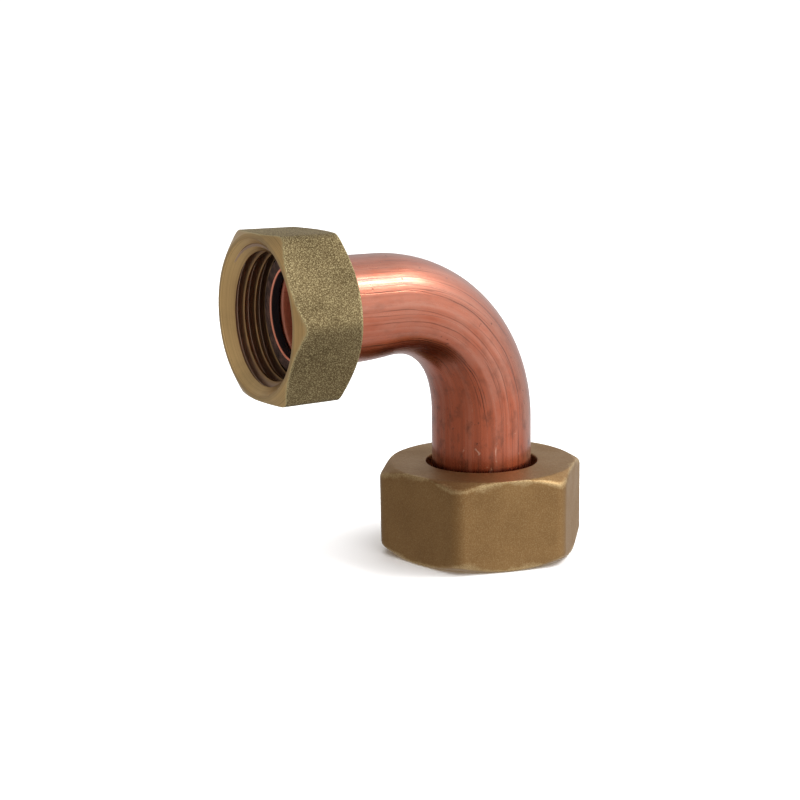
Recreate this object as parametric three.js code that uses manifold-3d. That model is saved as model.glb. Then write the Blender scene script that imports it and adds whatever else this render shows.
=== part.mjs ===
// Reducing swivel-nut elbow: a bent copper tube with a flat collar formed on each end, a loose brass
// union nut behind each collar and a flat sealing washer in front of it. Millimetres, Z up.
import * as THREE from "three";
import { mergeVertices } from "three/addons/utils/BufferGeometryUtils.js";
import Module from "manifold-3d";

const wasm = await Module();
wasm.setup();

// Copper tube
const tubeDiameter = 16;
const tubeWall = 1;
const bendRadius = 19.5; // on the centreline
const pinchDepth = 1.5; // the inside of the bend is pressed in by this much
const pinchRunout = 4; // how far the pinch runs on past the bend, into the upper leg
const collarLipRadius = 0.9; // rounding where the bore opens onto the collar
const collarFillet = 0.4; // between the outside of the tube and the back of the collar
const rimRound = 0.25; // of the collar's rim
const washerEdge = 0.15; // chamfer of the washer's edges

// Fits shared by both ends
const collarClearance = 0.3; // round the collar and the washer, inside the thread
const seatGap = 0.25; // between the nut's shoulder and the collar
const washerGap = 0.25; // between the collar and the washer
const reliefClearance = 0.1; // of the undercut beyond the thread's major diameter
const countersinkStep = 0.82; // of the countersink beyond the thread's major radius
const chamferStep = 0.1; // of the turned chamfer inside the flats
const chamferAngle = THREE.MathUtils.degToRad(30);
const threadDepthShare = 0.640327; // of the pitch, in a 55 degree pipe thread
const threadRootFlat = 0.3;
const threadHalfAngle = THREE.MathUtils.degToRad(27.5);
const cutterOverrun = 1; // how far a cutter runs past the face that it opens

// G 1/2 end, on the horizontal leg: 20.955 mm major diameter and 24 mm across flats
const upperEnd = {
  legLength: 12.4, // end of the bend to the collar's sealing face
  collarWidth: 1.016, // beyond the tube's outside; the thread's minor diameter clears the collar
  threadPitch: 1.814,
  wallAtFlats: 1.522, // from the thread's major diameter to the flats
  nutHeight: 10.8,
  shoulderThickness: 1.6,
  cornerRadius: 1.8,
  holeClearance: 0.5,
  washerThickness: 1.5,
  nutTurn: 58,
};

// G 3/4 end, on the vertical leg: 26.441 mm major diameter and 30 mm across flats
const lowerEnd = {
  legLength: 10.75,
  collarWidth: 3.759,
  threadPitch: 1.814,
  wallAtFlats: 1.78,
  nutHeight: 14.2,
  shoulderThickness: 2.5,
  cornerRadius: 2.5,
  holeClearance: 1,
  washerThickness: 2,
  nutTurn: 48.8,
};

// Smoothness
const tubeSides = 36;
const bendSteps = 16;
const runoutSteps = 3;
const nutSides = 60;
const threadSteps = 30; // in each turn
const cornerSteps = 5;

const tubeRadius = tubeDiameter / 2;
const boreRadius = tubeRadius - tubeWall;
const bendLength = (bendRadius * Math.PI) / 2;

const copper = new THREE.MeshStandardMaterial({ color: 0xc4785a, roughness: 0.32, metalness: 1 });
const upperBrass = new THREE.MeshStandardMaterial({ color: 0xa8986a, roughness: 0.5, metalness: 1 });
const lowerBrass = new THREE.MeshStandardMaterial({ color: 0x94764a, roughness: 0.48, metalness: 1 });
const washerRubber = new THREE.MeshStandardMaterial({ color: 0x2c2826, roughness: 0.7, metalness: 0 });

// A closed geometry as a manifold solid.
function solidFrom(geometry) {
  const bare = geometry.clone();
  bare.deleteAttribute("normal");
  bare.deleteAttribute("uv");
  const merged = mergeVertices(bare, 1e-4);
  const corners = merged.index.array;
  const kept = [];
  for (let i = 0; i < corners.length; i += 3) {
    const [a, b, c] = [corners[i], corners[i + 1], corners[i + 2]];
    if (a !== b && b !== c && c !== a) kept.push(a, b, c);
  }
  return new wasm.Manifold(
    new wasm.Mesh({
      numProp: 3,
      vertProperties: merged.attributes.position.array,
      triVerts: new Uint32Array(kept),
    }),
  );
}

// A named mesh of a manifold solid.
function meshFrom(solid, name, material) {
  const made = solid.getMesh();
  const geometry = new THREE.BufferGeometry();
  geometry.setAttribute("position", new THREE.BufferAttribute(made.vertProperties, 3));
  geometry.setIndex(new THREE.BufferAttribute(made.triVerts, 1));
  geometry.computeVertexNormals();
  const mesh = new THREE.Mesh(geometry, material);
  mesh.name = name;
  return mesh;
}

// A solid turned about Z from a profile of [radius, height] points.
function turned(profile, sides) {
  const points = profile.map(([radius, height]) => new THREE.Vector2(radius, height));
  return solidFrom(new THREE.LatheGeometry(points, sides).rotateX(Math.PI / 2));
}

// Points on an arc of a profile, both ends included.
function arcPoints(centreRadius, centreHeight, radius, fromDegrees, toDegrees, steps) {
  const points = [];
  for (let i = 0; i <= steps; i += 1) {
    const angle = THREE.MathUtils.degToRad(fromDegrees + ((toDegrees - fromDegrees) * i) / steps);
    points.push([centreRadius + radius * Math.cos(angle), centreHeight + radius * Math.sin(angle)]);
  }
  return points;
}

// Distances along the centreline, from the foot of the bend, at which the tube has a section.
function tubeStations() {
  const stations = [-lowerEnd.legLength];
  for (let i = 0; i <= bendSteps; i += 1) stations.push((bendLength * i) / bendSteps);
  for (let i = 1; i <= runoutSteps; i += 1) {
    stations.push(bendLength + (pinchRunout * i) / runoutSteps);
  }
  stations.push(bendLength + upperEnd.legLength);
  return stations;
}

// Tube centreline up the lower leg, round the bend and out along the upper leg.
class ElbowCentreline extends THREE.Curve {
  constructor(stations) {
    super();
    this.stations = stations;
  }

  station(fraction) {
    const distance = this.stations[Math.round(fraction * (this.stations.length - 1))];
    const angle = THREE.MathUtils.clamp(distance / bendRadius, 0, Math.PI / 2);
    const point = new THREE.Vector3(
      bendRadius * (Math.cos(angle) - 1) - Math.max(distance - bendLength, 0),
      0,
      bendRadius * Math.sin(angle) + Math.min(distance, 0),
    );
    return { point, angle };
  }

  getPointAt(fraction) {
    return this.station(fraction).point;
  }

  computeFrenetFrames(steps) {
    const frames = { tangents: [], normals: [], binormals: [] };
    for (let i = 0; i <= steps; i += 1) {
      const { angle } = this.station(i / steps);
      frames.tangents.push(new THREE.Vector3(-Math.sin(angle), 0, Math.cos(angle)));
      frames.normals.push(new THREE.Vector3(Math.cos(angle), 0, Math.sin(angle)));
      frames.binormals.push(new THREE.Vector3(0, 1, 0));
    }
    return frames;
  }
}

// Presses in the inside of the bend, as bending a short tube without a mandrel does.
function pinchBend(geometry) {
  const vertices = geometry.attributes.position;
  for (let i = 0; i < vertices.count; i += 1) {
    const out = vertices.getX(i) + bendRadius;
    const up = vertices.getZ(i);
    if (up <= 0) continue;
    const reach = Math.hypot(Math.max(out, 0), up);
    const distance = bendRadius * Math.atan2(up, Math.max(out, 0)) + Math.max(-out, 0);
    const along = Math.min(distance / (bendLength + pinchRunout), 1);
    const inward = bendRadius - reach;
    const facingIn = Math.max(0, inward / Math.hypot(inward, vertices.getY(i)));
    const press = pinchDepth * Math.sin(Math.PI * along) ** 1.5 * facingIn ** 2;
    const stretch = (reach + press) / reach;
    if (out > 0) vertices.setX(i, out * stretch - bendRadius);
    vertices.setZ(i, up * stretch);
  }
  return geometry;
}

// Right-hand helix about Z, with its frames kept radial so that a swept profile doesn't roll.
class ThreadPath extends THREE.Curve {
  constructor(radius, pitch, start, turns) {
    super();
    Object.assign(this, { radius, pitch, start, turns });
  }

  getPointAt(fraction) {
    const angle = 2 * Math.PI * this.turns * fraction;
    return new THREE.Vector3(
      this.radius * Math.cos(angle),
      this.radius * Math.sin(angle),
      this.start + this.pitch * this.turns * fraction,
    );
  }

  computeFrenetFrames(steps) {
    const frames = { tangents: [], normals: [], binormals: [] };
    for (let i = 0; i <= steps; i += 1) {
      const angle = (2 * Math.PI * this.turns * i) / steps;
      frames.tangents.push(new THREE.Vector3(-Math.sin(angle), Math.cos(angle), 0));
      frames.normals.push(new THREE.Vector3(Math.cos(angle), Math.sin(angle), 0));
      frames.binormals.push(new THREE.Vector3(0, 0, -1));
    }
    return frames;
  }
}

// Heights along a leg, measured from the end of the bend.
function legHeights(end) {
  const collarBack = end.legLength - tubeWall;
  const shoulderInside = collarBack - seatGap;
  const shoulderOutside = shoulderInside - end.shoulderThickness;
  const washerBack = end.legLength + washerGap;
  const washerFront = washerBack + end.washerThickness;
  return {
    collarBack,
    shoulderInside,
    shoulderOutside,
    washerBack,
    washerFront,
    mouth: shoulderOutside + end.nutHeight,
  };
}

// Radii of an end, from the tube outwards.
function endRadii(end) {
  const collarRim = tubeRadius + end.collarWidth;
  const minor = collarRim + collarClearance;
  const major = minor + threadDepthShare * end.threadPitch;
  const flat = major + end.wallAtFlats;
  return {
    collarRim,
    minor,
    major,
    flat,
    hole: tubeRadius + end.holeClearance,
    relief: major + reliefClearance,
    countersink: major + countersinkStep,
    chamfer: flat - chamferStep,
  };
}

// Height in the nut's own frame where the undercut ends and the thread begins.
function threadBottom(end) {
  const { washerFront, shoulderOutside } = legHeights(end);
  return washerFront - shoulderOutside - collarClearance;
}

// Hexagonal bar with rounded corners, standing on height 0.
function hexagonalBar(end) {
  const cornerCentre = (endRadii(end).flat - end.cornerRadius) / Math.cos(Math.PI / 6);
  const outline = new THREE.Shape();
  for (let side = 0; side < 6; side += 1) {
    const direction = Math.PI / 6 + (side * Math.PI) / 3;
    for (let i = 0; i <= cornerSteps; i += 1) {
      const angle = direction + (Math.PI / 3) * (i / cornerSteps - 0.5);
      const x = cornerCentre * Math.cos(direction) + end.cornerRadius * Math.cos(angle);
      const y = cornerCentre * Math.sin(direction) + end.cornerRadius * Math.sin(angle);
      if (side === 0 && i === 0) outline.moveTo(x, y);
      else outline.lineTo(x, y);
    }
  }
  outline.closePath();
  return solidFrom(
    new THREE.ExtrudeGeometry(outline, { depth: end.nutHeight, bevelEnabled: false }),
  );
}

// Turned envelope that chamfers both ends of the hexagon.
function chamferEnvelope(end) {
  const { chamfer, flat } = endRadii(end);
  const outer = flat / Math.cos(Math.PI / 6);
  const drop = (outer - chamfer) * Math.tan(chamferAngle);
  return turned(
    [
      [0, 0],
      [chamfer, 0],
      [outer, drop],
      [outer, end.nutHeight - drop],
      [chamfer, end.nutHeight],
      [0, end.nutHeight],
    ],
    nutSides,
  );
}

// Clearance hole, undercut, minor bore and countersink of the nut, as one turned cutter.
function nutBore(end) {
  const { hole, relief, minor, countersink } = endRadii(end);
  const bottom = threadBottom(end);
  return turned(
    [
      [0, -cutterOverrun],
      [hole, -cutterOverrun],
      [hole, end.shoulderThickness],
      [relief, end.shoulderThickness],
      [relief, bottom - (relief - minor)],
      [minor, bottom],
      [minor, end.nutHeight - (countersink - minor)],
      [countersink + cutterOverrun, end.nutHeight + cutterOverrun],
      [0, end.nutHeight + cutterOverrun],
    ],
    nutSides,
  );
}

// Helical groove of the internal thread, from inside the undercut to beyond the mouth.
function threadGroove(end) {
  const { major, minor } = endRadii(end);
  const start = threadBottom(end) - 0.75 * end.threadPitch;
  const turns = Math.ceil((end.nutHeight - start) / end.threadPitch) + 1;
  const inside = minor - 0.1 * end.threadPitch;
  const rootHalf = threadRootFlat / 2;
  const mouthHalf = rootHalf + (major - inside) * Math.tan(threadHalfAngle);
  const profile = new THREE.Shape();
  profile.moveTo(inside - major, -mouthHalf);
  profile.lineTo(0, -rootHalf);
  profile.lineTo(0, rootHalf);
  profile.lineTo(inside - major, mouthHalf);
  profile.closePath();
  return solidFrom(
    new THREE.ExtrudeGeometry(profile, {
      steps: turns * threadSteps,
      extrudePath: new ThreadPath(major, end.threadPitch, start, turns),
    }),
  );
}

// Union nut on its leg, in the leg's own frame.
function unionNut(end) {
  const body = hexagonalBar(end)
    .intersect(chamferEnvelope(end))
    .subtract(nutBore(end))
    .subtract(threadGroove(end));
  return body.rotate([0, 0, end.nutTurn]).translate([0, 0, legHeights(end).shoulderOutside]);
}

// Flat washer with its edges just broken.
function sealingWasher(end) {
  const { washerBack, washerFront } = legHeights(end);
  const { collarRim } = endRadii(end);
  return turned(
    [
      [boreRadius + washerEdge, washerBack],
      [collarRim - washerEdge, washerBack],
      [collarRim, washerBack + washerEdge],
      [collarRim, washerFront - washerEdge],
      [collarRim - washerEdge, washerFront],
      [boreRadius + washerEdge, washerFront],
      [boreRadius, washerFront - washerEdge],
      [boreRadius, washerBack + washerEdge],
      [boreRadius + washerEdge, washerBack],
    ],
    tubeSides,
  );
}

// Collar turned out of the end of the tube, with its fillet against the tube.
function collar(end) {
  const { collarBack } = legHeights(end);
  const { collarRim } = endRadii(end);
  const embedded = tubeRadius - tubeWall / 2;
  const filletFoot = collarBack - collarFillet;
  const roundCentre = collarRim - rimRound;
  return turned(
    [
      [embedded, filletFoot],
      ...arcPoints(tubeRadius + collarFillet, filletFoot, collarFillet, 180, 90, 3),
      ...arcPoints(roundCentre, collarBack + rimRound, rimRound, -90, 0, 2),
      ...arcPoints(roundCentre, end.legLength - rimRound, rimRound, 0, 90, 2),
      [embedded, end.legLength],
      [embedded, filletFoot],
    ],
    tubeSides,
  );
}

// Cutter that rounds the bore where it opens onto the collar.
function lipCutter(end) {
  const foot = end.legLength - collarLipRadius;
  const top = end.legLength + cutterOverrun;
  const outside = boreRadius + collarLipRadius;
  const inside = boreRadius - cutterOverrun;
  return turned(
    [
      [inside, foot],
      ...arcPoints(outside, foot, collarLipRadius, 180, 90, 5),
      [outside, top],
      [inside, top],
      [inside, foot],
    ],
    tubeSides,
  );
}

// Plain bent tube from one collar face to the other.
function bentTube() {
  const ring = new THREE.Shape();
  const bore = new THREE.Path();
  for (let i = 0; i < tubeSides; i += 1) {
    const angle = (2 * Math.PI * i) / tubeSides;
    const draw = i === 0 ? "moveTo" : "lineTo";
    ring[draw](tubeRadius * Math.cos(angle), tubeRadius * Math.sin(angle));
    bore[draw](boreRadius * Math.cos(angle), boreRadius * Math.sin(angle));
  }
  ring.holes.push(bore);
  const stations = tubeStations();
  const sweep = { steps: stations.length - 1, extrudePath: new ElbowCentreline(stations) };
  return solidFrom(pinchBend(new THREE.ExtrudeGeometry(ring, sweep)));
}

// Carries a solid from its leg's frame to the assembly: the lower leg points down from the foot of
// the bend, the upper leg points along -X from the head of the bend.
function onLowerLeg(solid) {
  return solid.rotate([180, 0, 0]);
}

function onUpperLeg(solid) {
  return solid.rotate([0, -90, 0]).translate([-bendRadius, 0, bendRadius]);
}

function elbowTube() {
  return bentTube()
    .add(onLowerLeg(collar(lowerEnd)))
    .add(onUpperLeg(collar(upperEnd)))
    .subtract(onLowerLeg(lipCutter(lowerEnd)))
    .subtract(onUpperLeg(lipCutter(upperEnd)));
}

const group = new THREE.Group();
group.name = "swivel_nut_elbow";
group.add(meshFrom(elbowTube(), "elbow_tube", copper));
group.add(meshFrom(onUpperLeg(unionNut(upperEnd)), "upper_union_nut", upperBrass));
group.add(meshFrom(onLowerLeg(unionNut(lowerEnd)), "lower_union_nut", lowerBrass));
group.add(meshFrom(onUpperLeg(sealingWasher(upperEnd)), "upper_sealing_washer", washerRubber));
group.add(meshFrom(onLowerLeg(sealingWasher(lowerEnd)), "lower_sealing_washer", washerRubber));

// The elbow stands on its lower nut, centred over the origin.
const extent = new THREE.Box3().setFromObject(group);
const middle = extent.getCenter(new THREE.Vector3());
group.position.set(-middle.x, -middle.y, -extent.min.z);

export default group;
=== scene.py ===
import bpy
import numpy as np
from mathutils import Matrix, Vector


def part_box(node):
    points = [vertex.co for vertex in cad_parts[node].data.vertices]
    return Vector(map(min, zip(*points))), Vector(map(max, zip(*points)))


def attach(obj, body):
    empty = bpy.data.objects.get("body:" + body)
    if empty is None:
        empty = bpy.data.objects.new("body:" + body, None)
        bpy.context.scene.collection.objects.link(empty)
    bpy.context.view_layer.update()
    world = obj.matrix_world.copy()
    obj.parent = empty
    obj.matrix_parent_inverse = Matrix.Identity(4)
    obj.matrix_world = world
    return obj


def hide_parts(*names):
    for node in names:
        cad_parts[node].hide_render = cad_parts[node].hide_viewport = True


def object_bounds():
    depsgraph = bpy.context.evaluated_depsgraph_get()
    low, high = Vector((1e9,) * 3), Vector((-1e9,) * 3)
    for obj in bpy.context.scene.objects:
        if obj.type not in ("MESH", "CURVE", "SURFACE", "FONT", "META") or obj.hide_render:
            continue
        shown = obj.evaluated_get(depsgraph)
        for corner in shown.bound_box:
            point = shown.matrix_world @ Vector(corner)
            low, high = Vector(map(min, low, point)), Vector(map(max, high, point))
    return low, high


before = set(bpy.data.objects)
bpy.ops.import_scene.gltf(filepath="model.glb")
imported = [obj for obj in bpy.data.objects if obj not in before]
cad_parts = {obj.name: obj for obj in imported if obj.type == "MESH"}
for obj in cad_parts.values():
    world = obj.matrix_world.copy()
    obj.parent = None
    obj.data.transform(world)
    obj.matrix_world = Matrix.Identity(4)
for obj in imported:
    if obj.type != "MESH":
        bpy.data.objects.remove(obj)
cadBounds = [[float(value) for value in corner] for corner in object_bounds()]
print("frame loaded:", ", ".join(sorted(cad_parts)))

mm = 0.001
fullTurn = 2 * np.pi

# where the two legs run, from the CAD boxes
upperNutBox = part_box("upper_union_nut")
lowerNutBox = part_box("lower_union_nut")
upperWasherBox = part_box("upper_sealing_washer")
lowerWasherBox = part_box("lower_sealing_washer")
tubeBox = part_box("elbow_tube")
upperAxisHeight = (upperNutBox[0].z + upperNutBox[1].z) / 2
lowerAxisX = (lowerNutBox[0].x + lowerNutBox[1].x) / 2


# Carries points from a leg's own frame, z out along the leg from 0 at the given place, to the
# object: the upper leg's z runs along -X and its x up, the lower leg's z runs down.
def ontoUpperLeg(points, startX):
    x, y, z = np.moveaxis(points, -1, 0)
    return np.stack([startX - z, y, upperAxisHeight + x], axis=-1)


def ontoLowerLeg(points, startZ):
    x, y, z = np.moveaxis(points, -1, 0)
    return np.stack([lowerAxisX + x, -y, startZ - z], axis=-1)


# Puts a grid of points [rows, columns, 3], joined end to end both ways, into one smooth mesh.
# attributes holds one number, or one vector, for each point of the grid.
def ringMesh(name, points, attributes):
    rows, columns = points.shape[:2]
    row, column = np.meshgrid(np.arange(rows), np.arange(columns), indexing="ij")
    nextRow, nextColumn = (row + 1) % rows, (column + 1) % columns
    corners = [row * columns + column, row * columns + nextColumn,
               nextRow * columns + nextColumn, nextRow * columns + column]
    quads = np.stack(corners, axis=-1).reshape(-1, 4)
    mesh = bpy.data.meshes.new(name)
    mesh.vertices.add(rows * columns)
    mesh.vertices.foreach_set("co", points.astype(np.float32).ravel())
    mesh.loops.add(quads.size)
    mesh.loops.foreach_set("vertex_index", quads.astype(np.int32).ravel())
    mesh.polygons.add(len(quads))
    mesh.polygons.foreach_set("loop_start", np.arange(0, quads.size, 4, dtype=np.int32))
    mesh.polygons.foreach_set("use_smooth", np.ones(len(quads), dtype=bool))
    for label, values in attributes.items():
        kind, field = ("FLOAT_VECTOR", "vector") if values.ndim == 3 else ("FLOAT", "value")
        layer = mesh.attributes.new(label, kind, "POINT")
        layer.data.foreach_set(field, values.astype(np.float32).ravel())
    mesh.update(calc_edges=True)
    piece = bpy.data.objects.new(name, mesh)
    bpy.context.scene.collection.objects.link(piece)
    return piece


rounding = {
    "steps": 5,  # points of each corner's curve
    "mostCut": 0.4,  # the largest share of an edge that a corner may take
    "hold": 1.25,  # place of the row beyond each end of a curve, in cuts, which keeps the flat beside it flat
}


# Rounds the corners of a closed outline [corners, columns, 2] and returns the rows of the new one,
# with the number of the edge that each row belongs to. A corner is swapped for a quadratic curve
# that leaves its two edges at the cut distance, and each edge gets a number of rows between. The
# first half of a corner's rows belong to the edge before it.
def roundedOutline(outline, cuts, fills):
    before = np.roll(outline, 1, axis=0) - outline
    after = np.roll(outline, -1, axis=0) - outline
    beforeLength = np.linalg.norm(before, axis=-1, keepdims=True)
    afterLength = np.linalg.norm(after, axis=-1, keepdims=True)
    cut = np.asarray(cuts, float)[:, None, None]
    leave = before * np.minimum(cut / beforeLength, rounding["mostCut"])
    rejoin = after * np.minimum(cut / afterLength, rounding["mostCut"])
    share = np.linspace(0, 1, rounding["steps"])[None, :, None, None]
    curve = outline[:, None] + (1 - share) ** 2 * leave[:, None] + share ** 2 * rejoin[:, None]
    first = outline[:, None] + rounding["hold"] * leave[:, None]
    last = outline[:, None] + rounding["hold"] * rejoin[:, None]
    curve = np.concatenate([first, curve, last], axis=1)
    half = curve.shape[1] // 2
    rows, edges = [], []
    for corner, count in enumerate(fills):
        start, end = curve[corner, -1], curve[(corner + 1) % len(outline), 0]
        between = np.linspace(0, 1, count + 2)[1:-1, None, None]
        rows.append(np.concatenate([curve[corner], start + between * (end - start)]))
        edges += [(corner - 1) % len(outline)] * half + [corner] * (curve.shape[1] - half + count)
    return np.concatenate(rows), np.array(edges)


# A colour on the usual 0 to 255 scale, as the linear one that a shader takes: the inverse of the screen's own
# curve
def tone(red, green, blue):
    level = np.array([red, green, blue]) / 255
    linear = np.where(level <= 0.04045, level / 12.92, ((level + 0.055) / 1.055) ** 2.4)
    return (*linear.tolist(), 1.0)


# Node helpers. A value in inputs may be a plain value or another node's output.
def addNode(tree, kind, inputs, **settings):
    node = tree.nodes.new(kind)
    for key, value in settings.items():
        setattr(node, key, value)
    for key, value in inputs.items():
        if isinstance(value, bpy.types.NodeSocket):
            tree.links.new(value, node.inputs[key])
        else:
            node.inputs[key].default_value = value
    return node


def noise(tree, vector, scale, detail=3.0, roughness=0.5, distortion=0.0):
    inputs = {"Vector": vector, "Scale": scale, "Detail": detail, "Roughness": roughness,
              "Distortion": distortion}
    return addNode(tree, "ShaderNodeTexNoise", inputs).outputs["Fac"]


def remap(tree, value, low, high, toLow=0.0, toHigh=1.0):
    inputs = {"Value": value, "From Min": low, "From Max": high, "To Min": toLow, "To Max": toHigh}
    return addNode(tree, "ShaderNodeMapRange", inputs).outputs["Result"]


def maths(tree, operation, first, second=0.0):
    return addNode(tree, "ShaderNodeMath", {0: first, 1: second}, operation=operation).outputs[0]


def mixColour(tree, factor, first, second, mode="MIX"):
    inputs = {0: factor, 6: first, 7: second}
    return addNode(tree, "ShaderNodeMix", inputs, data_type="RGBA", blend_type=mode).outputs[2]


def scaled(tree, vector, scale):
    return addNode(tree, "ShaderNodeMapping", {"Vector": vector, "Scale": scale}).outputs["Vector"]


def bump(tree, height, distance, strength=1.0, under=None):
    inputs = {"Height": height, "Distance": distance, "Strength": strength}
    if under is not None:
        inputs["Normal"] = under
    return addNode(tree, "ShaderNodeBump", inputs).outputs["Normal"]


def attribute(tree, name):
    return addNode(tree, "ShaderNodeAttribute", {}, attribute_name=name)


def newMaterial(name):
    material = bpy.data.materials.new(name)
    material.use_nodes = True
    return material, material.node_tree, material.node_tree.nodes["Principled BSDF"]


# the bent copper tube
tube = {
    "radius": 8.0 * mm,
    "boreRadius": 7.0 * mm,
    "bendRadius": 19.5 * mm,
    "pinchDepth": 1.5 * mm,  # how far the inside of the bend is pressed in
    "pinchRunout": 4.0 * mm,  # how far that runs on into the upper leg
    "pinchPower": 1.5,  # eases its two ends
    "foldDepth": 0.5 * mm,  # the soft fold on each side of the pressed strip
    "foldAngle": 140.0,  # its place round the tube from the outside of the bend, in degrees
    "foldWidth": 17.0,
    "foldPlace": 3.5,  # its middle and half length along the tube, in tube radii
    "foldLength": 1.0,
    "collarThickness": 1.0 * mm,
    "lipCut": 1.1 * mm,  # rounding of the bore's mouth
    "rimCut": 0.25 * mm,  # of the collar's rim
    "filletCut": 0.6 * mm,  # between the collar and the tube
    "sides": 128,
    "rows": 150,
}


# Depth of the fold as a share of its deepest: a bell curve of the angle round the tube times a bell
# curve of the place along it.
def foldShare(place, angle):
    fromFold = (np.abs(angle) - np.radians(tube["foldAngle"])) / np.radians(tube["foldWidth"])
    fromMiddle = (place / tube["radius"] - tube["foldPlace"]) / tube["foldLength"]
    return np.exp(-fromFold ** 2 - fromMiddle ** 2)


# Position of a point on the tube from its place along the centreline, its radius and its angle round
# it: up the lower leg, round the bend, along the upper leg. The inside of the bend is pressed in by
# a half sine of the place, to a power, times the square of how squarely the point faces in, and the
# fold is then sunk into each side.
def tubeSurface(place, radius, angle, lowerLeg):
    bend = tube["bendRadius"]
    theta = np.clip((place - lowerLeg) / bend, 0, np.pi / 2)
    below = np.minimum(place - lowerLeg, 0)
    beyond = np.maximum(place - lowerLeg - bend * np.pi / 2, 0)
    along = np.clip((place - lowerLeg) / (bend * np.pi / 2 + tube["pinchRunout"]), 0, 1)
    press = tube["pinchDepth"] * np.sin(np.pi * along) ** tube["pinchPower"]
    reach = bend + radius * np.cos(angle) + press * np.maximum(-np.cos(angle), 0) ** 2
    sunk = tube["foldDepth"] * foldShare(place, angle)
    reach = reach - sunk * np.cos(angle)
    x = reach * np.cos(theta) - bend - beyond
    z = reach * np.sin(theta) + below
    y = (radius - sunk) * np.sin(angle)
    return np.stack([x + lowerAxisX, y, z + upperAxisHeight - bend], axis=-1)


# The wall's closed section, out along the tube and back through its bore with a collar at each end,
# carried round the centreline at every angle.
def makeTube():
    bend, thick = tube["bendRadius"], tube["collarThickness"]
    lowerLeg = upperAxisHeight - bend - tubeBox[0].z
    upperLeg = lowerAxisX - bend - tubeBox[0].x
    length = lowerLeg + bend * np.pi / 2 + upperLeg
    lowerCollar = (lowerWasherBox[1].x - lowerWasherBox[0].x) / 2
    upperCollar = (upperWasherBox[1].z - upperWasherBox[0].z) / 2
    wall, bore = tube["radius"], tube["boreRadius"]
    corners = [(0, bore), (0, lowerCollar), (thick, lowerCollar), (thick, wall), (length - thick, wall),
               (length - thick, upperCollar), (length, upperCollar), (length, bore)]
    cuts = [tube[key] for key in ("lipCut", "rimCut", "rimCut", "filletCut")]
    cuts += cuts[::-1]
    fills = [4, 1, 2, tube["rows"], 2, 1, 4, tube["rows"]]
    boreEdge = 7
    section, edges = roundedOutline(np.array(corners, float)[:, None], cuts, fills)
    angle = np.linspace(-np.pi, np.pi, tube["sides"], endpoint=False)[None]
    place, radius = section[..., 0], section[..., 1]
    points = tubeSurface(place, radius, angle, lowerLeg)
    # round the tube and along it, in tube radii, so that a pattern can follow the bend
    around = np.stack([np.cos(angle) + 0 * place, np.sin(angle) + 0 * place,
                       place / wall + 0 * angle], axis=-1)
    inside = np.repeat((edges == boreEdge)[:, None], tube["sides"], axis=1)
    layers = {"around": around, "inside": inside, "fold": foldShare(place, angle)}
    return ringMesh("copper_elbow", points, layers)


copperLook = {
    "body": tone(176, 110, 88),
    "warm": tone(176, 90, 60),
    "pale": tone(204, 150, 130),
    "rub": tone(224, 178, 156),
    # dark stains, pits and bands, and the painted shade in the fold's crease
    "stainAndShade": tone(98, 58, 42),
    "drawLine": tone(58, 30, 22),
    "bore": tone(176, 98, 72),
    "roughness": 0.25,
    "film": 0.5,  # the thin clear skin of oil and oxide that whitens the shine
    "filmRoughness": 0.22,
    "boreMetal": 0.35,  # the tarnished bore mirrors less than the outside
    "lineWidth": 0.014,  # radians round the tube
    "lineFade": 0.3,  # tube radii
    # how fine each pattern is, across the tube twice and along it
    "driftScale": (1.3, 1.3, 0.6),
    "bandScale": (7.0, 7.0, 0.12),
    "faintLineScale": (5.0, 5.0, 0.07),
    "linePatchScale": (4.0, 4.0, 0.4),
    "smudgeScale": (2.2, 2.2, 1.1),
    "mottleScale": (16.0, 16.0, 9.0),
    "grainScale": (40.0, 40.0, 1.2),
    "waveScale": (3.0, 3.0, 0.7),
    "pitScale": 900.0,  # to the metre, as the rubs' is
    "rubScale": 420.0,
    # heights between which each grows from nothing, or from little, to its full strength
    "warmHeights": (32 * mm, 15 * mm),
    "blotchHeights": (36 * mm, 18 * mm),
    "rubHeights": (27 * mm, 18 * mm),
    # relief
    "waveDepth": 0.25 * mm,
    "lineDepth": 0.06 * mm,
    "grainDepth": 0.03 * mm,
    "mottleDepth": 0.04 * mm,
    "pitDepth": 0.05 * mm,
}
# the longest drawing lines: angle round the tube at the lower and at the upper end of the bend, in
# degrees from its outside, where each starts and ends along the tube in tube radii, and how dark
drawLines = [(-58, -52, 2.6, 6.2, 0.7), (-77, -68, 1.5, 6.3, 0.8), (-93, -88, 1.6, 6.1, 0.55),
             (-99, -101, 1.9, 5.9, 0.6), (-121, -127, 1.5, 5.9, 1.0), (-118, -124, 1.9, 4.7, 0.7),
             (-30, -27, 1.2, 5.0, 0.5), (-4, 3, 2.2, 6.0, 0.5), (38, 44, 1.4, 5.4, 0.8),
             (71, 66, 1.8, 6.2, 0.6), (97, 103, 1.5, 5.0, 0.8), (128, 124, 2.0, 5.8, 0.9)]


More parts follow.
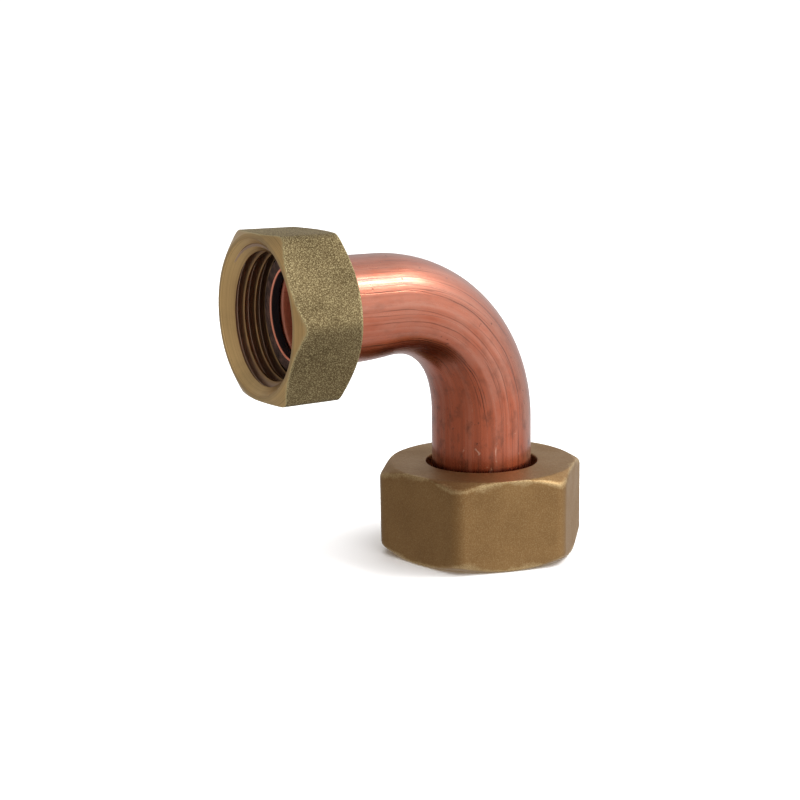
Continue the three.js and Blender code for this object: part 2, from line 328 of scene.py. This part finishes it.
# How strongly a point lies on one of the long lines: its angle, shaken a little by noise, against
# the line's own angle at that place, faded out beyond the line's two ends.
def longLines(tree, around):
    part = addNode(tree, "ShaderNodeSeparateXYZ", {"Vector": around}).outputs
    shake = noise(tree, scaled(tree, around, (0.6, 0.6, 1.1)), 1.0, 2.0, 0.5)
    shake = remap(tree, shake, 0, 1, -0.05, 0.05)
    angle = maths(tree, "ADD", maths(tree, "ARCTAN2", part["Y"], part["X"]), shake)
    breakUp = noise(tree, scaled(tree, around, (9.0, 9.0, 1.6)), 1.0, 2.0, 0.6)
    breakUp = remap(tree, breakUp, 0.3, 0.55, 0.35, 1.0)
    bendStart, bendEnd = 1.34, 5.17  # the bend's two ends, in tube radii
    width, fade = copperLook["lineWidth"], copperLook["lineFade"]
    strongest = None
    for lowAngle, highAngle, start, end, strength in drawLines:
        line = remap(tree, part["Z"], bendStart, bendEnd, np.radians(lowAngle), np.radians(highAngle))
        away = maths(tree, "ABSOLUTE", maths(tree, "SUBTRACT", angle, line))
        on = remap(tree, away, width, 0.3 * width, 0.0, strength)
        on = maths(tree, "MULTIPLY", on, remap(tree, part["Z"], start - fade, start + fade))
        on = maths(tree, "MULTIPLY", on, remap(tree, part["Z"], end + fade, end - fade))
        strongest = on if strongest is None else maths(tree, "MAXIMUM", strongest, on)
    return maths(tree, "MULTIPLY", strongest, breakUp)


# Drawn copper: drifts of colour, bands and lines left by drawing, then stains, pits and rubs
def makeCopper():
    material, tree, shader = newMaterial("drawnCopper")
    around = attribute(tree, "around").outputs["Vector"]
    place = addNode(tree, "ShaderNodeTexCoord", {}).outputs["Object"]

    # broad drifts of colour, warmer low down and on the inside of the bend
    drift = noise(tree, scaled(tree, around, copperLook["driftScale"]), 1.6, 3.0)
    drift = remap(tree, drift, 0.35, 0.65, -0.4, 0.4)
    height = addNode(tree, "ShaderNodeSeparateXYZ", {"Vector": place}).outputs["Z"]
    lowDown = remap(tree, height, *copperLook["warmHeights"], 0.0, 0.6)
    outward = addNode(tree, "ShaderNodeSeparateXYZ", {"Vector": around}).outputs["X"]
    inward = remap(tree, outward, 0.5, -0.7, 0.0, 0.7)
    warmth = maths(tree, "ADD", maths(tree, "ADD", lowDown, inward), drift)
    base = mixColour(tree, remap(tree, warmth, 0.0, 1.0), copperLook["body"], copperLook["warm"])

    # soft bands and a few long fine lines left by drawing, which follow the bend
    bands = noise(tree, scaled(tree, around, copperLook["bandScale"]), 1.0, 2.0, 0.6)
    base = mixColour(tree, remap(tree, bands, 0.5, 0.8, 0.0, 0.35), base, copperLook["pale"])
    base = mixColour(tree, remap(tree, bands, 0.46, 0.3, 0.0, 0.3), base, copperLook["stainAndShade"])
    lines = noise(tree, scaled(tree, around, copperLook["faintLineScale"]), 1.0, 2.0, 0.7)
    near = maths(tree, "PINGPONG", lines, 0.08)
    patch = noise(tree, scaled(tree, around, copperLook["linePatchScale"]), 1.0, 1.0, 0.5)
    faint = maths(tree, "MULTIPLY", remap(tree, near, 0.009, 0.003), remap(tree, patch, 0.42, 0.56))
    fine = maths(tree, "MAXIMUM", maths(tree, "MULTIPLY", faint, 0.5), longLines(tree, around))
    base = mixColour(tree, maths(tree, "MULTIPLY", fine, 0.9), base, copperLook["drawLine"])

    # dark blotches, stronger towards the bottom, small pits, pale rubs and a fine mottle
    smudge = noise(tree, scaled(tree, around, copperLook["smudgeScale"]), 2.4, 5.0, 0.62)
    lower = remap(tree, height, *copperLook["blotchHeights"], 0.25, 0.7)
    lowBlotches = maths(tree, "MULTIPLY", remap(tree, smudge, 0.50, 0.70), lower)
    base = mixColour(tree, lowBlotches, base, copperLook["stainAndShade"])
    pits = noise(tree, place, copperLook["pitScale"], 2.0, 0.5)
    pitted = remap(tree, pits, 0.71, 0.76)
    base = mixColour(tree, maths(tree, "MULTIPLY", pitted, 0.7), base, copperLook["stainAndShade"])
    rubs = noise(tree, scaled(tree, place, (1.0, 1.0, 0.5)), copperLook["rubScale"], 4.0, 0.75, 1.2)
    lowest = remap(tree, height, *copperLook["rubHeights"])
    rubbed = maths(tree, "MULTIPLY", remap(tree, rubs, 0.62, 0.70), lowest)
    base = mixColour(tree, maths(tree, "MULTIPLY", rubbed, 0.7), base, copperLook["rub"])
    mottle = noise(tree, scaled(tree, around, copperLook["mottleScale"]), 1.0, 4.0, 0.7)
    base = mixColour(tree, remap(tree, mottle, 0.5, 0.72, 0.0, 0.3), base, copperLook["warm"])

    # painted shade in the fold's crease, and the bore
    fold = attribute(tree, "fold").outputs["Fac"]
    base = mixColour(tree, maths(tree, "MULTIPLY", fold, 0.3), base, copperLook["stainAndShade"])
    inside = attribute(tree, "inside").outputs["Fac"]
    base = mixColour(tree, inside, base, copperLook["bore"])
    tree.links.new(base, shader.inputs["Base Color"])

    metal = remap(tree, inside, 0.0, 1.0, 1.0, copperLook["boreMetal"])
    tree.links.new(metal, shader.inputs["Metallic"])
    shader.inputs["Coat Weight"].default_value = copperLook["film"]
    shader.inputs["Coat Roughness"].default_value = copperLook["filmRoughness"]
    grain = noise(tree, scaled(tree, around, copperLook["grainScale"]), 1.0, 3.0, 0.6)
    smooth = copperLook["roughness"]
    rough = remap(tree, grain, 0.3, 0.7, smooth - 0.06, smooth + 0.08)
    rough = maths(tree, "ADD", rough, maths(tree, "MULTIPLY", smudge, 0.12))
    tree.links.new(rough, shader.inputs["Roughness"])
    waves = noise(tree, scaled(tree, around, copperLook["waveScale"]), 1.0, 2.0, 0.5)
    normal = bump(tree, waves, copperLook["waveDepth"], 0.3)
    normal = bump(tree, fine, -copperLook["lineDepth"], 0.5, normal)
    normal = bump(tree, grain, copperLook["grainDepth"], 0.3, normal)
    normal = bump(tree, mottle, copperLook["mottleDepth"], 0.35, normal)
    normal = bump(tree, pitted, -copperLook["pitDepth"], 0.5, normal)
    tree.links.new(normal, shader.inputs["Normal"])
    return material


# the two union nuts
upperNut = {
    "acrossFlats": 24.0 * mm,
    "cornerRadius": 1.8 * mm,
    "turn": 58.0,  # degrees about the leg
    "hole": 8.5 * mm,
    "shoulder": 1.6 * mm,
    "edgeCut": 0.14 * mm,
    "turnedChamfer": 1.0,  # how bright the mouth's chamfer is turned
    "threadMajor": 20.955 * mm,
    "threadMinor": 18.631 * mm,
}
lowerNut = {
    "acrossFlats": 30.0 * mm,
    "cornerRadius": 2.5 * mm,
    "turn": 48.8,
    "hole": 9.0 * mm,
    "shoulder": 2.5 * mm,
    "edgeCut": 0.75 * mm,
    "turnedChamfer": 0.15,
    "threadMajor": 26.441 * mm,
    "threadMinor": 24.117 * mm,
}
nutShape = {
    "pitch": 1.814 * mm,
    "rootFlat": 0.30 * mm,
    "threadHalfAngle": 27.5,  # degrees
    "startLead": 0.75,  # pitches from the groove, where it faces angle 0, up to the bottom of the thread
    "chamferStep": 0.1 * mm,
    "chamferAngle": 30.0,  # degrees
    "countersinkStep": 0.82 * mm,
    "reliefClearance": 0.1 * mm,
    "collarClearance": 0.3 * mm,
    "holeCut": 0.3 * mm,  # rounding of the hole's edge on the back face
    "backCut": 0.2 * mm,  # of the back face's outer edge
    "rimCut": 0.15 * mm,  # of the mouth's rim, outside
    "mouthCut": 0.12 * mm,  # and inside
    "reliefCut": 0.1 * mm,  # of the undercut's corner
    "shoulderCut": 0.2 * mm,  # of the hole's edge inside the nut
    "mouthBand": 0.15 * mm,  # the strip of the bore at the mouth that keeps its rounding
    "flatColumns": 28,
    "cornerColumns": 12,
    "boreRows": 140,
}


# Angle and radius of the points round a rounded hexagon: on each side a straight run at half the
# width across flats, then an arc of the corner radius.
def hexagonColumns(nut):
    flat = nut["acrossFlats"] / 2
    centre = (flat - nut["cornerRadius"]) / np.cos(np.pi / 6)
    reach = centre * np.sin(np.pi / 6)
    run = np.linspace(-reach, reach, nutShape["flatColumns"], endpoint=False)
    straight = flat + 1j * run
    sweep = np.linspace(0, np.pi / 3, nutShape["cornerColumns"], endpoint=False)
    corner = centre * np.exp(1j * np.pi / 6) + nut["cornerRadius"] * np.exp(1j * sweep)
    side = np.concatenate([straight, corner])
    outline = np.concatenate([side * np.exp(1j * np.pi / 3 * k) for k in range(6)])
    return np.unwrap(np.angle(outline)), np.abs(outline)


# Radius of the bore at a height and an angle, and how deep in the groove that is. The thread is a
# 55 degree groove whose distance from the point is the height less one pitch a turn, with its depth
# eased at the root and the crest; the countersink opens at 45 degrees to the mouth and the undercut
# lies between the shoulder and the thread. The largest of the three is left.
def boreRadius(nut, height, threadAngle, nutHeight, threadStart):
    pitch = nutShape["pitch"]
    major, minor = nut["threadMajor"] / 2, nut["threadMinor"] / 2
    lead = (height - threadStart + nutShape["startLead"] * pitch) / pitch - threadAngle / fullTurn
    away = np.abs(lead - np.round(lead)) * pitch
    slope = (major - minor) * np.tan(np.radians(nutShape["threadHalfAngle"]))
    depth = np.clip((nutShape["rootFlat"] / 2 + slope - away) / slope, 0, 1)
    depth = 0.4 * depth + 0.6 * depth * depth * (3 - 2 * depth)
    thread = minor + (major - minor) * depth
    countersink = major + nutShape["countersinkStep"] - (nutHeight - height)
    relief = major + nutShape["reliefClearance"]
    undercut = np.minimum(relief, minor + threadStart - height)
    bore = np.maximum(np.maximum(thread, countersink), undercut)
    return bore, np.where(thread >= countersink, depth, 0)


# The section of the wall, out over the back face, along the flats, in over the mouth and back through
# the bore, carried round the columns of the hexagon. A chamfer's edge drops by the hexagon's reach
# past the chamfer's circle, times its slope.
def makeNut(name, nut, nutHeight, washerFront, carry):
    angle, hexagon = hexagonColumns(nut)
    chamferRadius = nut["acrossFlats"] / 2 - nutShape["chamferStep"]
    drop = (hexagon - chamferRadius) * np.tan(np.radians(nutShape["chamferAngle"]))
    countersink = nut["threadMajor"] / 2 + nutShape["countersinkStep"]
    relief = nut["threadMajor"] / 2 + nutShape["reliefClearance"]
    same = np.ones_like(angle)
    corners = [(nut["hole"] * same, 0 * same), (chamferRadius * same, 0 * same),
               (hexagon, drop), (hexagon, nutHeight - drop),
               (chamferRadius * same, nutHeight * same), (countersink * same, nutHeight * same),
               (relief * same, nut["shoulder"] * same), (nut["hole"] * same, nut["shoulder"] * same)]
    outline = np.array(corners).transpose(0, 2, 1)
    cuts = [nutShape["holeCut"], nutShape["backCut"], nut["edgeCut"], nut["edgeCut"],
            nutShape["rimCut"], nutShape["mouthCut"], nutShape["reliefCut"], nutShape["shoulderCut"]]
    fills = [5, 3, 9, 3, 2, nutShape["boreRows"], 3, 3]
    boreEdge = 5
    section, edges = roundedOutline(outline, cuts, fills)
    radius, height = section[..., 0], section[..., 1]

    threadStart = washerFront - nutShape["collarClearance"]
    bore, depth = boreRadius(nut, height, angle[None], nutHeight, threadStart)
    inBore = (edges == boreEdge)[:, None] & (height < nutHeight - nutShape["mouthBand"])
    radius = np.where(inBore, bore, radius)
    legAngle = angle[None] + np.radians(nut["turn"])
    points = np.stack([radius * np.cos(legAngle), radius * np.sin(legAngle), height], axis=-1)

    # how far each point is from the chamfers' edges, in millimetres, for the worn edges and the painted
    # highlight along them, and which edges of the section are turned bright
    edgeDistance = np.minimum(np.hypot(radius - hexagon, height - drop),
                              np.hypot(radius - hexagon, height - (nutHeight - drop))) / mm
    turnedEdges = np.array([0.0, 0.0, 0.0, nut["turnedChamfer"], 1.0, 1.0, 1.0, 1.0])
    machined = turnedEdges[edges][:, None] + 0 * radius
    intoBore = np.clip((nutHeight - nutShape["countersinkStep"] - height) / nutShape["pitch"], 0, 1)
    groove = np.where(inBore, depth, 0)
    turning = np.stack([radius / mm, height / mm, 0 * radius], axis=-1)
    layers = {"edgeDistance": edgeDistance, "machined": machined, "groove": groove,
              "intoBore": np.where(inBore, intoBore, 0), "turning": turning}
    return ringMesh(name, carry(points), layers)


upperBrassLook = {
    "body": tone(124, 108, 77),
    "dark": tone(72, 58, 36),
    "bright": tone(200, 186, 142),
    "turned": tone(206, 174, 122),
    "crest": tone(134, 104, 74),
    "groove": tone(172, 146, 128),
    "speckSize": 5600.0,  # specks to the metre
    "speckDetail": 1.0,
    "speckBump": 0.1 * mm,
    "speckContrast": 0.55,
    "cloud": 0.25,
    "rippleBump": 0.02 * mm,
    "roughness": 0.66,
    "turnedRoughness": 0.3,
    "wearAndHighlight": 0.7,
    "wearAndHighlightReach": 0.6,  # millimetres from the edge
}
lowerBrassLook = {
    "body": tone(150, 117, 76),
    "dark": tone(112, 82, 50),
    "bright": tone(206, 182, 138),
    "turned": tone(186, 152, 102),
    "crest": tone(134, 104, 74),
    "groove": tone(172, 146, 128),
    "speckSize": 5600.0,
    "speckDetail": 2.0,
    "speckBump": 0.022 * mm,
    "speckContrast": 0.2,
    "cloud": 0.28,
    "rippleBump": 0.05 * mm,
    "roughness": 0.5,
    "turnedRoughness": 0.32,
    "wearAndHighlight": 0.7,
    "wearAndHighlightReach": 1.3,
}
# what the two nuts' metal has in common: how fine each pattern is, to the metre, and the rings' relief
brassPatterns = {
    "cloudScale": 120.0,
    "crestScale": 300.0,
    "wearAndHighlightScale": 260.0,
    "rippleScale": 1300.0,
    "ringScale": (9.0, 9.0, 0.0),  # on millimetres of radius and of height
    "ringDepth": 0.02 * mm,
}


# A nut's brass: the skin of the blank where it is left rough, and cut metal where it is machined
def makeBrass(name, look):
    material, tree, shader = newMaterial(name)
    place = addNode(tree, "ShaderNodeTexCoord", {}).outputs["Object"]
    machined = attribute(tree, "machined").outputs["Fac"]
    groove = attribute(tree, "groove").outputs["Fac"]
    rough = maths(tree, "SUBTRACT", 1.0, machined)

    # cloudy tarnish, then the specks of the blasted skin
    cloud = noise(tree, place, brassPatterns["cloudScale"], 4.0, 0.6)
    base = mixColour(tree, remap(tree, cloud, 0.38, 0.66, 0.0, look["cloud"]), look["body"], look["dark"])
    specks = noise(tree, place, look["speckSize"], look["speckDetail"], 0.6)
    raised = maths(tree, "MULTIPLY", remap(tree, specks, 0.50, 0.68), look["speckContrast"])
    sunk = maths(tree, "MULTIPLY", remap(tree, specks, 0.50, 0.34), look["speckContrast"])
    base = mixColour(tree, maths(tree, "MULTIPLY", raised, rough), base, look["bright"])
    base = mixColour(tree, maths(tree, "MULTIPLY", sunk, rough), base, look["dark"])

    # turned faces: rings that follow the cut
    turning = attribute(tree, "turning").outputs["Vector"]
    rings = noise(tree, scaled(tree, turning, brassPatterns["ringScale"]), 1.0, 2.0, 0.6)
    turned = mixColour(tree, remap(tree, rings, 0.45, 0.8, 0.0, 0.45), look["turned"], look["dark"])
    turned = mixColour(tree, remap(tree, cloud, 0.45, 0.7, 0.0, 0.4), turned, look["body"])
    base = mixColour(tree, machined, base, turned)

    # the thread: crests darker from a pitch inside the mouth on, and a paler groove
    intoBore = attribute(tree, "intoBore").outputs["Fac"]
    dulled = noise(tree, place, brassPatterns["crestScale"], 3.0, 0.6)
    dulled = remap(tree, dulled, 0.3, 0.65, 0.55, 0.95)
    base = mixColour(tree, maths(tree, "MULTIPLY", intoBore, dulled), base, look["crest"])
    base = mixColour(tree, remap(tree, groove, 0.1, 0.6, 0.0, 0.9), base, look["groove"])

    # edges worn bright and partly a painted highlight along the chamfers, broken up along their length
    distance = attribute(tree, "edgeDistance").outputs["Fac"]
    patches = noise(tree, place, brassPatterns["wearAndHighlightScale"], 3.0, 0.6)
    reach = remap(tree, patches, 0.35, 0.7, 0.1, look["wearAndHighlightReach"])
    wornAndHighlit = maths(tree, "SUBTRACT", 1.0, maths(tree, "DIVIDE", distance, reach))
    wornAndHighlit = remap(tree, wornAndHighlit, 0.0, 0.8)
    wornAndHighlit = maths(tree, "MULTIPLY", wornAndHighlit, remap(tree, specks, 0.36, 0.6, 0.25, 1.0))
    base = mixColour(tree, maths(tree, "MULTIPLY", wornAndHighlit, look["wearAndHighlight"]), base, look["bright"])
    tree.links.new(base, shader.inputs["Base Color"])

    shader.inputs["Metallic"].default_value = 1.0
    gloss = remap(tree, cloud, 0.3, 0.7, look["roughness"] - 0.05, look["roughness"] + 0.08)
    turnedGloss = remap(tree, rings, 0.3, 0.7, look["turnedRoughness"], look["turnedRoughness"] + 0.12)
    gloss = maths(tree, "MULTIPLY", gloss, rough)
    turnedGloss = maths(tree, "MULTIPLY", turnedGloss, machined)
    tree.links.new(maths(tree, "ADD", gloss, turnedGloss), shader.inputs["Roughness"])
    skin = maths(tree, "MULTIPLY", specks, rough)
    ripple = noise(tree, place, brassPatterns["rippleScale"], 2.0, 0.5)
    ripple = maths(tree, "MULTIPLY", ripple, rough)
    normal = bump(tree, ripple, look["rippleBump"], 0.8)
    normal = bump(tree, skin, look["speckBump"], 0.9, normal)
    turnedRings = maths(tree, "MULTIPLY", rings, machined)
    normal = bump(tree, turnedRings, brassPatterns["ringDepth"], 0.2, normal)
    tree.links.new(normal, shader.inputs["Normal"])
    return material


# the sealing washers, square rings with their edges broken
washer = {"bore": 7.0 * mm, "cut": 0.25 * mm, "sides": 128}


# A rounded rectangle carried round a circle. Each point knows how far it is outside the bore, in
# millimetres, and how far it is from the back face to the front, as a share.
def makeWasher(name, outer, thickness, carry):
    corners = [(washer["bore"], 0), (outer, 0), (outer, thickness), (washer["bore"], thickness)]
    section = roundedOutline(np.array(corners)[:, None], [washer["cut"]] * 4, [3, 2, 3, 2])[0]
    angle = np.linspace(0, fullTurn, washer["sides"], endpoint=False)[None]
    radius, height = section[..., 0] + 0 * angle, section[..., 1] + 0 * angle
    points = np.stack([radius * np.cos(angle), radius * np.sin(angle), height], axis=-1)
    fromBore = (radius - washer["bore"]) / mm
    front = height / thickness
    return ringMesh(name, carry(points), {"fromBore": fromBore, "front": front})


washerLook = {
    "face": tone(92, 70, 62),
    "edge": tone(200, 120, 94),  # painted highlight: a coppery reflection on the front edge of the bore
    # near-black: the rubber's dark mottle, and painted shade on the wall inside the bore
    "wall": tone(26, 24, 27),
    "roughness": 0.45,
    "mottleScale": 900.0,  # to the metre
    "mottleDepth": 0.03 * mm,
}


# Dull dark rubber, with a painted coppery highlight round the front of the bore and painted shade that makes
# the wall inside it near-black
def makeWasherMaterial():
    material, tree, shader = newMaterial("sealingRing")
    place = addNode(tree, "ShaderNodeTexCoord", {}).outputs["Object"]
    fromBore = attribute(tree, "fromBore").outputs["Fac"]
    front = attribute(tree, "front").outputs["Fac"]
    mottle = noise(tree, place, washerLook["mottleScale"], 4.0, 0.6)
    base = mixColour(tree, remap(tree, mottle, 0.35, 0.7), washerLook["face"], washerLook["wall"])
    # painted highlight: a coppery band round the front edge of the bore
    base = mixColour(tree, remap(tree, fromBore, 0.30, 0.20), base, washerLook["edge"])
    # painted shade: the wall inside the bore is painted near-black
    wall = maths(tree, "MULTIPLY", remap(tree, fromBore, 0.12, 0.05), remap(tree, front, 0.95, 0.85))
    base = mixColour(tree, wall, base, washerLook["wall"])
    tree.links.new(base, shader.inputs["Base Color"])
    shader.inputs["Roughness"].default_value = washerLook["roughness"]
    normal = bump(tree, mottle, washerLook["mottleDepth"], 0.5)
    tree.links.new(normal, shader.inputs["Normal"])
    return material


# Gives a piece its material, parents it to its body's empty and hides the CAD node it stands for
def finish(piece, material, body, node):
    piece.data.materials.append(material)
    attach(piece, body)
    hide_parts(node)
    print("made", piece.name, len(piece.data.polygons), "faces")


finish(makeTube(), makeCopper(), "elbow", "elbow_tube")

# each nut is as high as its CAD box, and its thread starts just behind the front of its washer
upperNutHeight = upperNutBox[1].x - upperNutBox[0].x
upperWasherFront = upperNutBox[1].x - upperWasherBox[0].x
upperNutPiece = makeNut("upper_brass_nut", upperNut, upperNutHeight, upperWasherFront,
                        lambda points: ontoUpperLeg(points, upperNutBox[1].x))
finish(upperNutPiece, makeBrass("blastedBrass", upperBrassLook), "upper_nut",
       "upper_union_nut")

lowerNutHeight = lowerNutBox[1].z - lowerNutBox[0].z
lowerWasherFront = lowerNutBox[1].z - lowerWasherBox[0].z
lowerNutPiece = makeNut("lower_brass_nut", lowerNut, lowerNutHeight, lowerWasherFront,
                        lambda points: ontoLowerLeg(points, lowerNutBox[1].z))
finish(lowerNutPiece, makeBrass("forgedBrass", lowerBrassLook), "lower_nut",
       "lower_union_nut")

ringMaterial = makeWasherMaterial()
upperRing = makeWasher("upper_seal_ring", (upperWasherBox[1].z - upperWasherBox[0].z) / 2,
                       upperWasherBox[1].x - upperWasherBox[0].x,
                       lambda points: ontoUpperLeg(points, upperWasherBox[1].x))
finish(upperRing, ringMaterial, "elbow", "upper_sealing_washer")
lowerRing = makeWasher("lower_seal_ring", (lowerWasherBox[1].x - lowerWasherBox[0].x) / 2,
                       lowerWasherBox[1].z - lowerWasherBox[0].z,
                       lambda points: ontoLowerLeg(points, lowerWasherBox[1].z))
finish(lowerRing, ringMaterial, "elbow", "lower_sealing_washer")


# floor, a wide pale disc just under the lower nut
floorSetup = {
    "radius": 3.0,
    "sides": 96,
    "drop": 0.2 * mm,
    "colour": (0.94, 0.94, 0.94, 1.0),
    "roughness": 0.9,
}


# One flat face whose corners lie on a circle
def makeFloor():
    angle = np.linspace(0, fullTurn, floorSetup["sides"], endpoint=False)
    rim = floorSetup["radius"] * np.stack([np.cos(angle), np.sin(angle), 0 * angle], axis=-1)
    rim[:, 2] = cadBounds[0][2] - floorSetup["drop"]
    mesh = bpy.data.meshes.new("floor")
    mesh.from_pydata(rim.tolist(), [], [list(range(len(rim)))])
    floor = bpy.data.objects.new("floor", mesh)
    bpy.context.scene.collection.objects.link(floor)
    material, _, shader = newMaterial("paleFloor")
    shader.inputs["Base Color"].default_value = floorSetup["colour"]
    shader.inputs["Roughness"].default_value = floorSetup["roughness"]
    mesh.materials.append(material)
    floor.visible_glossy = False  # the metal mirrors the studio's own glow instead


makeFloor()


# Unit vector towards a place in the room: azimuth turned from -Y towards +X, elevation up from level
def towards(azimuth, elevation):
    around, up = np.radians(azimuth), np.radians(elevation)
    return Vector((np.sin(around) * np.cos(up), -np.cos(around) * np.cos(up), np.sin(up)))


# camera, placed from the foot of the bend: its direction and roll in degrees, its distance, and how
# far that point is off its axis
cameraSetup = {
    "azimuth": -32.8,
    "elevation": 11.08,
    "roll": -1.08,
    "distance": 204.0 * mm,
    "right": 13.1 * mm,
    "up": -2.72 * mm,
    "lens": 56.81,
    "sensorWidth": 36,
    "clipStart": 0.01,
}


def makeCamera():
    azimuth, roll = np.radians(cameraSetup["azimuth"]), np.radians(cameraSetup["roll"])
    back = towards(cameraSetup["azimuth"], cameraSetup["elevation"])
    level = Vector((np.cos(azimuth), np.sin(azimuth), 0))
    upright = back.cross(level)
    right = level * np.cos(roll) + upright * np.sin(roll)
    up = upright * np.cos(roll) - level * np.sin(roll)
    foot = Vector((lowerAxisX, 0, upperAxisHeight - tube["bendRadius"]))
    place = foot + back * cameraSetup["distance"]
    place = place - right * cameraSetup["right"] - up * cameraSetup["up"]
    data = bpy.data.cameras.new("camera")
    data.lens = cameraSetup["lens"]
    data.sensor_width = cameraSetup["sensorWidth"]
    data.clip_start = cameraSetup["clipStart"]
    camera = bpy.data.objects.new("camera", data)
    bpy.context.scene.collection.objects.link(camera)
    camera.matrix_world = Matrix.Translation(place) @ Matrix((right, up, back)).transposed().to_4x4()
    bpy.context.scene.camera = camera


makeCamera()


# two soft lights: direction round the object in degrees, distance in metres, and size in metres, or
# in radians for the sun, which stands for a pale tent overhead. The metal mirrors only the first.
lights = {
    "keyLight": {
        "kind": "AREA",
        "azimuth": 54,
        "elevation": 49,
        "distance": 0.7,
        "size": 0.21,
        "power": 1.7,
        "mirrored": True,
    },
    "tentLight": {
        "kind": "SUN",
        "azimuth": 30,
        "elevation": 75,
        "distance": 1.0,
        "size": 1.6,
        "power": 2.6,
        "mirrored": False,
    },
}


def makeLights():
    middle = Vector([(low + high) / 2 for low, high in zip(*cadBounds)])
    for name, light in lights.items():
        direction = towards(light["azimuth"], light["elevation"])
        data = bpy.data.lights.new(name, light["kind"])
        data.energy = light["power"]
        if light["kind"] == "AREA":
            data.shape = "DISK"
            data.size = light["size"]
        else:
            data.angle = light["size"]
        lamp = bpy.data.objects.new(name, data)
        lamp.visible_glossy = light["mirrored"]
        turn = direction.to_track_quat("Z", "Y").to_matrix().to_4x4()
        lamp.matrix_world = Matrix.Translation(middle + direction * light["distance"]) @ turn
        bpy.context.scene.collection.objects.link(lamp)


makeLights()

# surroundings that the metal mirrors: dim and warm on the left, bright on the right, with a glow
# round the key light; the backdrop itself shows plain white
studio = {
    "left": 0.5,
    "right": 1.12,
    "glow": 0.55,
    "ceiling": 0.65,  # the share of it left overhead, then underneath, behind the object and far right
    "ground": 0.8,
    "far": 0.5,
    "side": 0.65,
    "backdrop": 1.1,
    "leftTone": (1.0, 0.93, 0.86, 1.0),
    "rightTone": (1.0, 1.0, 1.0, 1.0),
    "backdropTone": (1.0, 1.0, 1.0, 1.0),
}


# Strength of the glow from the direction of a ray: straight ramps of its X, Y and Z, multiplied, with
# one more added round the key light
def makeWorld():
    world = bpy.data.worlds.new("studio")
    world.use_nodes = True
    tree = world.node_tree
    shader = tree.nodes["Background"]
    direction = addNode(tree, "ShaderNodeTexCoord", {}).outputs["Generated"]
    split = addNode(tree, "ShaderNodeSeparateXYZ", {"Vector": direction}).outputs
    rightness = remap(tree, split["X"], -0.95, 0.1)
    level = remap(tree, rightness, 0.0, 1.0, studio["left"], studio["right"])
    keyDirection = towards(lights["keyLight"]["azimuth"], lights["keyLight"]["elevation"])
    nearKey = addNode(tree, "ShaderNodeVectorMath", {0: direction, 1: keyDirection},
                      operation="DOT_PRODUCT").outputs["Value"]
    level = maths(tree, "ADD", level, remap(tree, nearKey, 0.45, 1.0, 0.0, studio["glow"]))
    level = maths(tree, "MULTIPLY", level, remap(tree, split["Z"], 0.65, 0.85, 1.0, studio["ceiling"]))
    level = maths(tree, "MULTIPLY", level, remap(tree, split["Z"], -0.2, -0.9, 1.0, studio["ground"]))
    level = maths(tree, "MULTIPLY", level, remap(tree, split["Y"], 0.2, 0.85, 1.0, studio["far"]))
    level = maths(tree, "MULTIPLY", level, remap(tree, split["X"], 0.8, 1.0, 1.0, studio["side"]))
    seen = addNode(tree, "ShaderNodeLightPath", {}).outputs["Is Camera Ray"]
    colour = mixColour(tree, rightness, studio["leftTone"], studio["rightTone"])
    colour = mixColour(tree, seen, colour, studio["backdropTone"])
    mirrored = maths(tree, "MULTIPLY", maths(tree, "SUBTRACT", 1.0, seen), level)
    backdrop = maths(tree, "MULTIPLY", seen, studio["backdrop"])
    tree.links.new(maths(tree, "ADD", backdrop, mirrored), shader.inputs["Strength"])
    tree.links.new(colour, shader.inputs["Color"])
    return world


bpy.context.scene.world = makeWorld()
bpy.context.scene.view_settings.view_transform = "Standard"
print("stage ready")
